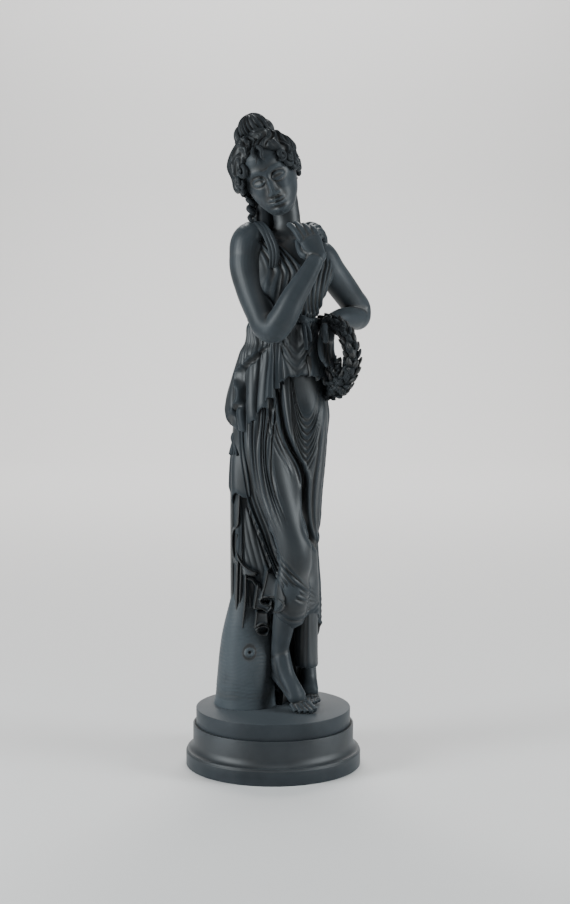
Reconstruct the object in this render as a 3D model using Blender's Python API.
"""Standing goddess figure with her stump, wreath and round base, and the turned plinth under her."""
import math

import bmesh
import bpy
import numpy as np
from mathutils import Matrix

# Driving dimensions in metres.
FIGURE_HEIGHT = 0.4556
DISC_RADIUS = 0.0598
DISC_HEIGHT = 0.0127
DISC_CLEARANCE = 0.0008
RIM_WIDTH = 0.0016
PLINTH_HEIGHT = 0.0321
FLANGE_HEIGHT = 0.0108
FLANGE_OVERHANG = 0.0055
RECESS_DEPTH = 0.0007
SEAT_GAP = 0.0003
EDGE = 0.0005
TRIANGLES = 8300

# The carving below is written in 456ths of the figure's height, with the top of the disc at GROUND.
SHARE = FIGURE_HEIGHT / 455.6
GROUND = 44.4
DISC_BOTTOM = PLINTH_HEIGHT - RECESS_DEPTH + SEAT_GAP
DISC_TOP = DISC_BOTTOM + DISC_HEIGHT
SEAT_RADIUS = DISC_RADIUS + DISC_CLEARANCE
DRUM_RADIUS = SEAT_RADIUS + RIM_WIDTH
PLINTH_RADIUS = DRUM_RADIUS + FLANGE_OVERHANG


def through(knots, values, at):
    """Smooth curve through the values given at the knots."""
    knots, values = np.asarray(knots, float), np.asarray(values, float)
    flat = values.ndim == 1
    values = values[:, None] if flat else values
    slopes = np.gradient(values, knots, axis=0)
    at = np.clip(np.asarray(at, float), knots[0], knots[-1])
    i = np.clip(np.searchsorted(knots, at, side="right") - 1, 0, len(knots) - 2)
    h = (knots[i + 1] - knots[i])[..., None]
    t = ((at - knots[i]) / (knots[i + 1] - knots[i]))[..., None]
    made = (values[i] * (1 + 2 * t) * (1 - t) ** 2 + values[i + 1] * t * t * (3 - 2 * t)
            + slopes[i] * h * t * (1 - t) ** 2 - slopes[i + 1] * h * t * t * (1 - t))
    return made[..., 0] if flat else made


def ease(x, low, high):
    t = np.clip((np.asarray(x, float) - low) / (high - low), 0, 1)
    return t * t * (3 - 2 * t)


def unit(v):
    v = np.asarray(v, float)
    return v / np.linalg.norm(v)


def wrap(points):
    """Closed skin over a grid of points (rows, columns, 3) written in shares of the figure."""
    rows, columns = points.shape[:2]
    bm = bmesh.new()
    bmesh.ops.create_grid(bm, x_segments=columns - 1, y_segments=rows - 1, size=0.5)
    for v in bm.verts:
        i, j = round((v.co.x + 0.5) * (columns - 1)), round((v.co.y + 0.5) * (rows - 1))
        x, y, z = points[j, i]
        v.co = (x * SHARE, y * SHARE, (z - GROUND) * SHARE + DISC_TOP)
    bmesh.ops.remove_doubles(bm, verts=bm.verts, dist=2e-6)
    bmesh.ops.holes_fill(bm, edges=[e for e in bm.edges if e.is_boundary], sides=0)
    bmesh.ops.recalc_face_normals(bm, faces=bm.faces)
    return bm


def form(*rows):
    """An upright body given by ellipses (height, centre x, centre y, half width, half depth)."""
    rows = sorted(rows)
    knots, values = [r[0] for r in rows], [r[1:] for r in rows]

    def section(z):
        v = through(knots, values, z)
        return v[..., 0], v[..., 1], v[..., 2], v[..., 3], np.maximum(np.maximum(z - knots[-1], knots[0] - z), 0)

    return section


def skin_radius(forms, theta, z, axis, blend):
    """How far out of the axis the blended forms reach at each angle and height."""
    low, high = np.zeros(theta.shape), np.full(theta.shape, 90.0)
    for _ in range(20):
        mid = (low + high) / 2
        x, y = axis[0] + mid * np.sin(theta), axis[1] - mid * np.cos(theta)
        total = 0.0
        for section in forms:
            cx, cy, a, b, away = section(z)
            px, py = (x - cx) / a, (y - cy) / b
            k = np.hypot(px, py)
            total = total + np.exp(-(k * (k - 1) / (np.hypot(px / a, py / b) + 1e-9) + away) / blend)
        inside = total > 1
        low, high = np.where(inside, mid, low), np.where(inside, high, mid)
    return low


TORSO = form(
    (222, 7, 3, 14, 9), (240, 7, 3, 27, 19), (262, 7, 2.5, 33.5, 24), (280, 7, 2, 33.5, 24.5), (300, 7, 1, 30, 21.5),
    (318, 7, 0.5, 26, 18), (332, 7, 0, 23.6, 17), (343, 7, 0, 23.2, 17), (356, 9, 0, 26.6, 19), (368, 10.5, 0.5, 30, 20),
    (380, 11.5, 1.5, 33, 19.5), (390, 12, 2.5, 35, 17.5), (397, 12, 3.5, 34.5, 15.5), (402.5, 12, 4, 30, 13.5),
    (406.5, 12, 4, 21.5, 12), (410, 11.5, 4, 14.5, 11), (414, 11, 3.5, 11.4, 10.4), (424, 9.8, 2.5, 10.4, 10),
    (436, 8.5, 1.5, 9.9, 9.8), (444, 7.4, 2, 9.4, 9.6), (452, 5.5, 3, 8.5, 9),
)
STANDING_LEG = form(
    (80, 28, 12, 7.5, 8), (110, 27, 9, 9, 11.5), (140, 26, 5, 9.8, 13.5), (165, 24, 1, 10.5, 13.5),
    (200, 24, 1, 12.5, 17), (230, 24, 1, 15, 20), (258, 24, 1, 16, 22.5), (276, 24, 1, 15.5, 23), (296, 22, 2, 10, 14),
)
RESTING_LEG = form(
    (75, 3, 5, 6, 7), (100, 7.5, -4, 8, 9), (120, 13, -12, 11.5, 12), (150, 16, -21, 12.5, 12.5),
    (168, 16, -26, 13, 13), (200, 8, -21, 15, 17), (230, 0, -13, 17, 19.5), (262, -6, -2, 18, 20.5), (296, -6, 0, 8, 9),
)
SIDE_FALL = form(
    (80, -16, 6, 17, 16), (120, -16, 6, 16.2, 16), (160, -16, 6, 15.4, 16), (200, -16, 6, 15.4, 15),
    (240, -15, 5, 15.8, 15), (280, -12, 5, 13, 14), (310, -6, 3, 8, 9),
)
MIDDLE_FALL = form((80, 6, 5, 22, 13), (120, 5, 3, 22, 14), (170, 4, 0, 22, 14), (220, 5, 0, 25, 16), (270, 7, 2, 27, 17))
BACK_FALL = form((48, 9, 17, 20, 9), (130, 9, 16, 20, 11), (180, 8, 14, 23, 12), (230, 7, 12, 26, 13), (300, 7, 5, 20, 11))


def rings(columns, rows, top, hem, axis_of):
    """Angles, heights and axis for a tube of cloth between a level top and a running hem."""
    theta = np.linspace(-np.pi, np.pi, columns)
    v = np.linspace(0, 1, rows)[:, None]
    z = top + (hem(np.degrees(theta))[None] - top) * v
    return np.broadcast_to(theta, z.shape), z, v, axis_of(z)


def hung(x, y, z, centre):
    """Closes a hanging cloth: its hem turns in and up, its top is drawn to the middle."""
    points = np.stack([x, y, z], 2)
    last = points[-1]
    away = last[:, :2] - np.asarray(centre[:2])
    away /= np.linalg.norm(away, axis=1, keepdims=True)
    inner = last.copy()
    inner[:, :2] -= away * 2.5
    lid = np.broadcast_to(np.array([centre[0], centre[1], z[0].max() + 1]), last.shape)
    well = np.broadcast_to(np.asarray(centre, float), last.shape)
    return wrap(np.concatenate([lid[None], points, inner[None], well[None]]))


def panel_edge(z):
    """The long edge of the skirt's front that sweeps from her hip round under the bent knee, as x at each height."""
    return through([122, 139, 152, 165, 181, 199, 222, 240, 266, 300],
                   [40, 13.5, 4, -2.7, -9.5, -16.5, -22.5, -25, -26.5, -28], z)


def skirt():
    def hem(deg):
        return through([-180, -150, -120, -85, -58, -40, -22, -8, 5, 20, 35, 50, 65, 80, 95, 110, 125, 150, 180],
                       [48, 52, 80, 90, 98, 107, 117, 120, 117, 112, 110, 111, 113, 117, 117, 104, 84, 52, 48], deg)

    def axis(z):
        return through([60, 170, 250, 330], [4, 4, 6, 8], z), through([60, 170, 250, 330], [2, -3, 0, 0], z)

    theta, z, v, (ax, ay) = rings(180, 110, 330.0, hem, axis)
    r = skin_radius([TORSO, STANDING_LEG, RESTING_LEG, SIDE_FALL, MIDDLE_FALL, BACK_FALL], theta, z, (ax, ay), 2.6)
    deg = np.degrees(theta)
    front = ease(np.cos(theta), -0.2, 0.35)
    x = ax + r * np.sin(theta)
    # The channel beside the bent thigh, and the hollow behind the edge of the front.
    channel = through([166, 176, 185, 195, 210, 227, 236, 245, 258, 273, 300],
                      [36, 30, 26, 24, 23.3, 22.8, 19.5, 14.5, 9, 6, 3], z)
    r = r - 3.6 * front * ease(z, 160, 178) * (1 - ease(z, 286, 304)) * np.exp(-((x - channel) / 2.6) ** 2)
    behind = (1 - ease(x - panel_edge(z), -0.5, 2.0)) * ease(deg, -75, -55) * (1 - ease(deg, -25, 20))
    r = r - 2.6 * behind * (1 - ease(z, 258, 285)) * ease(z, 128, 160)
    # Hanging pleats behind, and folds that swing to and fro at the side fall.
    r = r + 2.0 * (1 - front) * np.cos(2 * np.pi * deg / 18)
    side = ease(deg, -150, -120) * (1 - ease(deg, -45, -25)) * (1 - ease(z, 180, 250))
    r = r + (0.8 + 2.4 * np.cos(2 * np.pi * deg / 20)) * side
    slide = 2.4 * side * np.sin(2 * np.pi * deg / 20)
    return hung(ax + r * np.sin(theta) + slide * np.cos(theta), ay - r * np.cos(theta) + slide * np.sin(theta),
                z + 3 * side * v * np.cos(2 * np.pi * deg / 20), (6, 2, 128))


def overfold():
    def hem(deg):
        return through([-180, -140, -115, -100, -90, -82, -74, -66, -58, -46, -34, -22, -10, 2, 10, 30, 50, 65, 80,
                        100, 140, 180],
                       [286, 285, 283, 280, 275, 266, 254, 250.5, 255, 263.5, 273, 282.5, 291, 297, 300, 302, 302, 299,
                        293, 292, 290, 286], deg)

    theta, z, v, (ax, ay) = rings(160, 40, 342.5, hem, lambda z: (7 + 0 * z, 0.5 + 0 * z))
    deg = np.degrees(theta)
    flare = through([-180, -130, -105, -88, -74, -60, -30, 0, 40, 70, 90, 130, 180],
                    [6, 7.5, 9, 8.4, 4.2, 2.8, 2.5, 2.5, 3, 6.5, 8, 7, 6], deg)
    r = skin_radius([TORSO], theta, z, (ax, ay), 3.0) + 1.5 + flare * v ** 0.6
    calm = 1 - 0.85 * np.exp(-((deg + 96) / 16) ** 2) - 0.7 * np.exp(-((deg - 22) / 22) ** 2)
    turn = 2 * np.pi * (deg - 14 * v * ease(-deg, 0, 50) * (1 - ease(-deg, 100, 160))) / 15
    r = r + (0.3 + 2.0 * v) * calm * np.cos(turn)
    slide = 1.8 * v * calm * np.sin(turn)
    return hung(ax + r * np.sin(theta) + slide * np.cos(theta), ay - r * np.cos(theta) + slide * np.sin(theta),
                z + 2.2 * v * calm * np.cos(turn), (7, 0.5, 322))


def body():
    def axis(z):
        heights = [336, 400, 414, 424, 436, 452]
        return through(heights, [7, 12, 11, 9.8, 8.5, 5.5], z), through(heights, [0, 3, 3.5, 2.5, 1.5, 3], z)

    theta, z, v, (ax, ay) = rings(130, 80, 452.0, lambda deg: 336 + 0 * deg, axis)
    r = skin_radius([TORSO], theta, z, (ax, ay), 2.0) + 1.0 * (1 - ease(z, 404, 408))
    x, y = ax + r * np.sin(theta), ay - r * np.cos(theta)
    lean = z - 0.14 * ease(z, 350, 400) * (1 - ease(z, 404, 418)) * (x - 12)
    for bx, bz in ((-2.5, 368), (25, 364)):
        y = y - 8 * ease(-y, -4, 4) * np.exp(-((x - bx) / 11) ** 2 - ((lean - bz) / 12) ** 2)
    points = np.stack([x, y, lean], 2)
    ends = [np.broadcast_to(p[0] * 0 + p.mean(0), p.shape) for p in (points[0], points[-1])]
    return wrap(np.concatenate([ends[0][None], points, ends[1][None]]))


def tube(path, radii, around=16, steps=26, reference=(0, -1, 0), blunt=True):
    """A limb through the path; each radius is one number, or (across, toward the reference)."""
    path = np.asarray(path, float)
    radii = np.asarray([(r, r) if np.isscalar(r) else r for r in radii], float)
    knots = np.concatenate([[0], np.cumsum(np.linalg.norm(np.diff(path, axis=0), axis=1))])
    s = knots[-1] * (0.5 - 0.5 * np.cos(np.pi * np.linspace(0, 1, steps + 1)))
    centre, size = through(knots, path, s), through(knots, radii, s)
    if blunt:
        for far, r in ((s, radii[0].mean()), (knots[-1] - s, radii[-1].mean())):
            size = size * np.sqrt(np.clip(1 - (1 - np.clip(far / r, 0, 1)) ** 2, 0, 1))[:, None]
    along = np.gradient(centre, axis=0)
    along /= np.linalg.norm(along, axis=1, keepdims=True)
    up = np.asarray(reference, float) - (along @ np.asarray(reference, float))[:, None] * along
    up /= np.linalg.norm(up, axis=1, keepdims=True)
    side = np.cross(along, up)
    a = np.linspace(0, 2 * np.pi, around + 1)[None, :, None]
    return wrap(centre[:, None] + side[:, None] * size[:, :1, None] * np.cos(a) + up[:, None] * size[:, 1:, None] * np.sin(a))


def blob(centre, radii, place=lambda p: p):
    a = np.linspace(-np.pi, np.pi, 25)[None]
    e = np.linspace(np.pi / 2, -np.pi / 2, 15)[:, None]
    p = np.stack([np.cos(e) * np.sin(a), -np.cos(e) * np.cos(a), np.sin(e) + 0 * a], 2)
    return wrap(place(p * np.asarray(radii) + np.asarray(centre)))


def hand(wrist, ahead, palm, curls, size):
    """A palm and four fingers, each finger bent by three angles toward the palm side."""
    a, n = unit(ahead), np.asarray(palm, float)
    n = unit(n - a * (n @ a))
    s, wrist, k = np.cross(a, n), np.asarray(wrist, float), size
    yield tube([wrist - a * 4 * k, wrist + a * 3 * k, wrist + a * 11 * k, wrist + a * 18.5 * k],
               [(5.4 * k, 4.4 * k), (6.2 * k, 4.2 * k), (7.8 * k, 4 * k), (7.6 * k, 3.2 * k)], reference=n)
    for j, bends in enumerate(curls):
        at = wrist + a * 17 * k + s * (1.5 - j) * 3.9 * k
        path, angle = [at - a * 3 * k, at], 0.0
        for bone, bend in zip((9.4, 6.4, 5.2), bends):
            angle += math.radians(bend)
            path.append(path[-1] + (a * math.cos(angle) + n * math.sin(angle)) * bone * k)
        yield tube(path, [2.3 * k, 2.5 * k, 2.4 * k, 2.2 * k, 1.8 * k], 8, 14)
    at = wrist + a * 3.5 * k + s * 5 * k + n * 1.5
    yield tube([at, at + (s * 3 + a * 6 + n * 3) * k, at + (s * 2 + a * 14 + n * 6) * k], [3.2 * k, 3 * k, 2.2 * k], 8, 12)


def arms():
    yield tube([(-6, 3, 402), (-15.5, 1, 402.5), (-19.6, -2, 389), (-16.2, -11, 367), (-9.8, -22, 349), (-5, -29.5, 338.5),
                (0, -34, 336.5), (6.5, -36.5, 344), (15, -38, 360), (26, -37, 378), (33.5, -35, 392)],
               [10, 14, 14.4, 12.8, 11, 10.4, 10.4, 10.4, 9.2, 7.2, 5.7], 22, 64)
    yield tube([(-5, -31, 335), (-2.5, -34, 329)], [7, 6], 12, 8)
    yield tube([(28, 3, 399), (36.5, 3, 391), (43.7, 8, 380.5), (51, 15, 371), (59.7, 26, 359), (65.8, 32.5, 350.5),
                (66.3, 30, 345), (62.5, 22, 343.5), (54, 6, 343), (47, -6, 340)],
               [10, 11.8, 11.6, 11.2, 10.6, 9.9, 9.4, 9.0, 7.6, 5.8], 22, 54)
    yield from hand((33.5, -35, 390), (-0.44, 0.24, 0.86), (-0.12, 0.95, -0.25),
                    [(8, 26, 20), (14, 36, 26), (22, 44, 32), (30, 50, 36)], 1.04)
    yield from hand((47, -6, 341), (-0.30, -0.20, -0.93), (0.62, -0.72, 0), [(9, 15, 12)] * 4, 0.95)
    # The clasp on that shoulder, the fold that hangs from it, and the edge of the armhole on the other shoulder.
    for shift in (-2, 3):
        yield tube([(37, 4, 403), (35 + shift * 0.5, -3, 411), (31 + shift * 0.6, -11, 412), (29 + shift * 0.8, -19, 406),
                    (28.5 + shift, -22, 397), (29 + shift, -22, 386)], [(3.4, 2.2)] * 5 + [(2.2, 1.2)], 10, 24)
    yield blob((34, -3, 411), (6.5, 5.5, 4.6))
    yield blob((28, -2, 412), (4.5, 4, 3.6))
    yield tube([(-19.5, 7, 413), (-12.5, -7, 413.5), (-6.5, -11, 407), (-2.5, -14, 398), (-1.2, -17, 388), (-2, -20.3, 379)],
               [(3.6, 1.5)] * 6, 10, 24)


def underskirt():
    """The cloth that still covers the shin she stands on, below the front's rolled hem."""
    a = np.linspace(-np.pi, np.pi, 61)[None]
    v = np.linspace(0, 1, 30)[:, None]
    fold = 1 + 0.05 * v * np.cos(9 * a)
    p = np.stack([26 + 10.2 * fold * np.sin(a) + 0 * v, 3 + 5 * v - 12 * fold * np.cos(a), 136 - 61 * v + 1.5 * v * np.cos(9 * a)], 2)
    ends = [np.broadcast_to(q.mean(0), q.shape) for q in (p[0], p[-1])]
    return wrap(np.concatenate([ends[0][None], p, ends[1][None]]))


def foot(leg, leg_radii, heel, arch, ball, aim, inner):
    """A shin, an instep, a sole and five toes; inner is +1 where the large toe is on the left of the way it points."""
    leg, heel, arch, ball = (np.asarray(p, float) for p in (leg, heel, arch, ball))
    ahead, up = unit((*aim, 0)), np.array([0, 0, 1.0])
    across = np.array([-ahead[1], ahead[0], 0]) * inner
    yield tube(leg, leg_radii, 18, 24, reference=ahead)
    yield tube([heel, arch, ball], [(6.4, 6.6), (6.2, 5.8), (8.2, 4.2)], 18, 24, reference=up)
    yield tube([leg[-1] + up * 3, (leg[-1] + ball) / 2 + up * 2.5, ball + up * 1.2], [(6, 6.6), (6.2, 5.6), (7.4, 3.4)], 18, 20, reference=up)
    for j in range(5):
        base = ball + across * (5.6 - 2.8 * j) - ahead * 0.9 * j
        tip = base + ahead * (10.5 - 0.8 * j)
        tip[2] = 46.4
        yield tube([base, tip], [3 - 0.2 * j, 2.6 - 0.2 * j], 8, 10)


def feet():
    yield from foot([(16, -24, 150), (10.5, -10, 122), (7, -3, 104), (5.2, 2, 92), (3.2, 6.5, 80), (1.5, 9, 74)],
                    [(9, 10), (8, 9), (7.2, 7.8), (6.6, 7), (6.2, 6.8), (5.6, 6)],
                    (-0.5, 9, 70.5), (8, -3, 66), (20, -19, 51.5), (0.59, -0.81), 1)
    yield from foot([(26, 5, 130), (27, 16, 96), (28, 24, 70), (28, 26, 62)], [(8, 9), (7.4, 8), (5.8, 6.8), (5.6, 7)],
                    (27.5, 32, 51), (29, 16, 51), (30.5, 3, 49), (0.12, -1), -1)


HEAD = np.array(Matrix.Translation((-4, -5, 455)) @ Matrix.Rotation(math.radians(-22), 4, "Y")
                @ Matrix.Rotation(math.radians(-7), 4, "Z") @ Matrix.Rotation(math.radians(12), 4, "X"))


def on_head(points):
    return points @ HEAD[:3, :3].T + HEAD[:3, 3]


def head_and_hair():
    skull = form((-31, 0, -7, 8, 10), (-28, 0, -5.2, 11, 14.6), (-24, 0, -3, 13.8, 17.9), (-18, 0, -1, 16.8, 20.6),
                 (-12, 0, 0.2, 18.6, 22), (-4, 0, 1, 19.8, 23.2), (6, 0, 1.5, 20.1, 24.2), (14, 0, 2, 18.8, 23.4),
                 (20, 0, 2.5, 15.6, 19.5), (24.5, 0, 3, 11.2, 13.4), (27.6, 0, 3.5, 3, 4))
    a = np.linspace(-np.pi, np.pi, 41)[None]
    z = np.linspace(27.5, -31, 36)[:, None] + 0 * a
    cx, cy, w, d, _ = skull(z)
    x, y = w * np.sin(a), cy - d * np.cos(a)
    nose = through([-17, -15.6, -14.2, -8, 2], [0, 1.8, 6.4, 4.6, 1.0], z) * np.exp(-(x / 2.8) ** 2)
    y = y - np.where(np.cos(a) > 0, nose, 0)
    p = np.stack([x, y, z], 2)
    ends = [np.broadcast_to(q.mean(0), q.shape) for q in (p[0], p[-1])]
    yield wrap(on_head(np.concatenate([ends[0][None], p, ends[1][None]])))
    # The mass of hair round the skull, its curls at the temples, and the coiled knot.
    yield blob((-0.4, 5.5, 7.5), (24.6, 25.5, 23.5), on_head)
    for side in (-1, 1):
        for y0, z0, r in ((-12, 8, 6), (-5, -1, 6.4), (3, -9, 5.6 - 0.6 * side), (12, -12, 6)):
            yield blob((side * 18.5 - 0.6, y0, z0), (5.6 - 0.6 * side, r, r), on_head)
    yield blob((0, 20, -10), (13, 9, 11), on_head)
    yield blob((1.5, 5, 33.5), (12.6, 11.6, 10.6), on_head)
    yield blob((-6.5, 7, 29.5), (8.4, 10, 9.4), on_head)
    yield blob((9.5, 7, 28.5), (7, 9, 8.4), on_head)
    yield tube([(-16.5, 3, 438), (-15.5, -2, 412)], [4.0, 3], 10, 16)
    yield tube([(-8, 7, 444), (-6.5, 6, 426), (-5, 5, 408)], [8, 7, 8], 12, 16)


def wreath():
    """A ring of short leaves bound round a core, standing upright beside the hip, with its ends tied inside it."""
    centre, out, up = np.array([42, -2, 315]), unit((0.65, -0.76, 0)), np.array([0, 0, 1.0])
    normal = np.cross(out, up)
    a = np.linspace(0, 2 * np.pi, 97)
    b = np.linspace(0, 2 * np.pi, 17)
    ray = np.cos(a)[:, None] * out + np.sin(a)[:, None] * up
    r = (6.2 + 0.8 * np.cos(24 * a[:, None] + 2 * np.cos(b)[None]))[..., None]
    yield tube([(57, -19, 296), (49, -11, 293), (43, -5, 299), (40.5, -3, 309)], [6.6] * 4, 12, 20)
    yield wrap(centre + 26.3 * ray[:, None] + ray[:, None] * r * np.cos(b)[None, :, None] + normal * r * np.sin(b)[None, :, None])


def stump():
    a = np.linspace(-np.pi, np.pi, 49)[None]
    v = np.linspace(0, 1, 30)[:, None]
    r = through([0, 0.03, 0.12, 0.36, 0.6, 1], [24.2, 23.2, 22, 19.2, 12, 7], v + 0 * a)
    p = np.stack([-21.5 + 4 * v + r * np.sin(a), 9 - r * np.cos(a), 43.5 + 150 * v + 0 * a], 2)
    ends = [np.broadcast_to(q.mean(0), q.shape) for q in (p[0], p[-1])]
    return wrap(np.concatenate([ends[0][None], p, ends[1][None]]))


def turned(name, profile, around):
    """A solid of revolution from (radius, height) corners running from axis to axis."""
    bm = bmesh.new()
    verts = [bm.verts.new((r, 0, z)) for r, z in profile]
    edges = [bm.edges.new(pair) for pair in zip(verts, verts[1:])]
    bmesh.ops.spin(bm, geom=verts + edges, cent=(0, 0, 0), axis=(0, 0, 1), angle=2 * math.pi, steps=around, use_merge=True)
    bmesh.ops.remove_doubles(bm, verts=bm.verts, dist=1e-6)
    bmesh.ops.recalc_face_normals(bm, faces=bm.faces)
    return place(name, bm)


def place(name, bm):
    mesh = bpy.data.meshes.new(name)
    bm.to_mesh(mesh)
    bm.free()
    obj = bpy.data.objects.new(name, mesh)
    bpy.context.scene.collection.objects.link(obj)
    return obj


def settle(obj):
    """Puts the result of the modifiers into the object's own mesh."""
    done = bpy.data.meshes.new_from_object(obj.evaluated_get(bpy.context.evaluated_depsgraph_get()))
    obj.modifiers.clear()
    obj.data = done


def figure():
    gathered = bmesh.new()
    for piece in (skirt(), underskirt(), overfold(), body(), *arms(), *feet(), *head_and_hair(), *wreath(), stump()):
        spare = bpy.data.meshes.new("spare")
        piece.to_mesh(spare)
        piece.free()
        gathered.from_mesh(spare)
        bpy.data.meshes.remove(spare)
    obj = place("figure", gathered)
    one = obj.modifiers.new("one skin", "REMESH")
    one.mode, one.voxel_size = "VOXEL", 0.0015
    settle(obj)
    bm = bmesh.new()
    bm.from_mesh(obj.data)
    # Keep the one large body if the remesh has left a crumb beside it.
    left, bodies = set(bm.verts), []
    while left:
        stack, body_verts = [left.pop()], []
        while stack:
            v = stack.pop()
            body_verts.append(v)
            for e in v.link_edges:
                w = e.other_vert(v)
                if w in left:
                    left.remove(w)
                    stack.append(w)
        bodies.append(body_verts)
    bodies.sort(key=len)
    bmesh.ops.delete(bm, geom=[v for group in bodies[:-1] for v in group], context="VERTS")
    bm.to_mesh(obj.data)
    bm.free()
    soft = obj.modifiers.new("soft", "SMOOTH")
    soft.factor, soft.iterations = 0.5, 1
    fewer = obj.modifiers.new("fewer", "DECIMATE")
    fewer.ratio = TRIANGLES / (2 * len(obj.data.polygons))
    settle(obj)
    disc = turned("disc", [(0, DISC_BOTTOM), (DISC_RADIUS - EDGE, DISC_BOTTOM), (DISC_RADIUS, DISC_BOTTOM + EDGE),
                           (DISC_RADIUS, DISC_TOP - EDGE), (DISC_RADIUS - EDGE, DISC_TOP), (0, DISC_TOP)], 64)
    union = obj.modifiers.new("base", "BOOLEAN")
    union.operation, union.solver, union.object = "UNION", "EXACT", disc
    settle(obj)
    bpy.data.objects.remove(disc)
    bm = bmesh.new()
    bm.from_mesh(obj.data)
    bmesh.ops.triangulate(bm, faces=bm.faces)
    bmesh.ops.recalc_face_normals(bm, faces=bm.faces)
    bm.to_mesh(obj.data)
    bm.free()
    return obj


def plinth():
    top = PLINTH_HEIGHT
    shoulder = PLINTH_RADIUS - 0.0008
    cove = [(shoulder - (shoulder - DRUM_RADIUS) * math.sin(t), FLANGE_HEIGHT + 0.0018 + 0.0064 * (1 - math.cos(t)))
            for t in (i * math.pi / 12 for i in range(7))]
    return turned("plinth", [(0, 0), (PLINTH_RADIUS - EDGE, 0), (PLINTH_RADIUS, EDGE), (PLINTH_RADIUS, FLANGE_HEIGHT)]
                  + [(shoulder, FLANGE_HEIGHT + 0.0008)] + cove
                  + [(DRUM_RADIUS, top - EDGE), (DRUM_RADIUS - EDGE, top), (SEAT_RADIUS + 0.0002, top),
                     (SEAT_RADIUS, top - RECESS_DEPTH), (0, top - RECESS_DEPTH)], 64)


def paint(obj, name, colour, rough):
    material = bpy.data.materials.new(name)
    material.use_nodes = True
    shader = material.node_tree.nodes["Principled BSDF"]
    shader.inputs["Base Color"].default_value = (*colour, 1)
    shader.inputs["Roughness"].default_value = rough
    obj.data.materials.clear()
    obj.data.materials.append(material)


for old in list(bpy.data.objects):
    bpy.data.objects.remove(old)
paint(figure(), "black_cast_figure", (0.030, 0.033, 0.036), 0.5)
paint(plinth(), "black_turned_plinth", (0.028, 0.031, 0.034), 0.5)
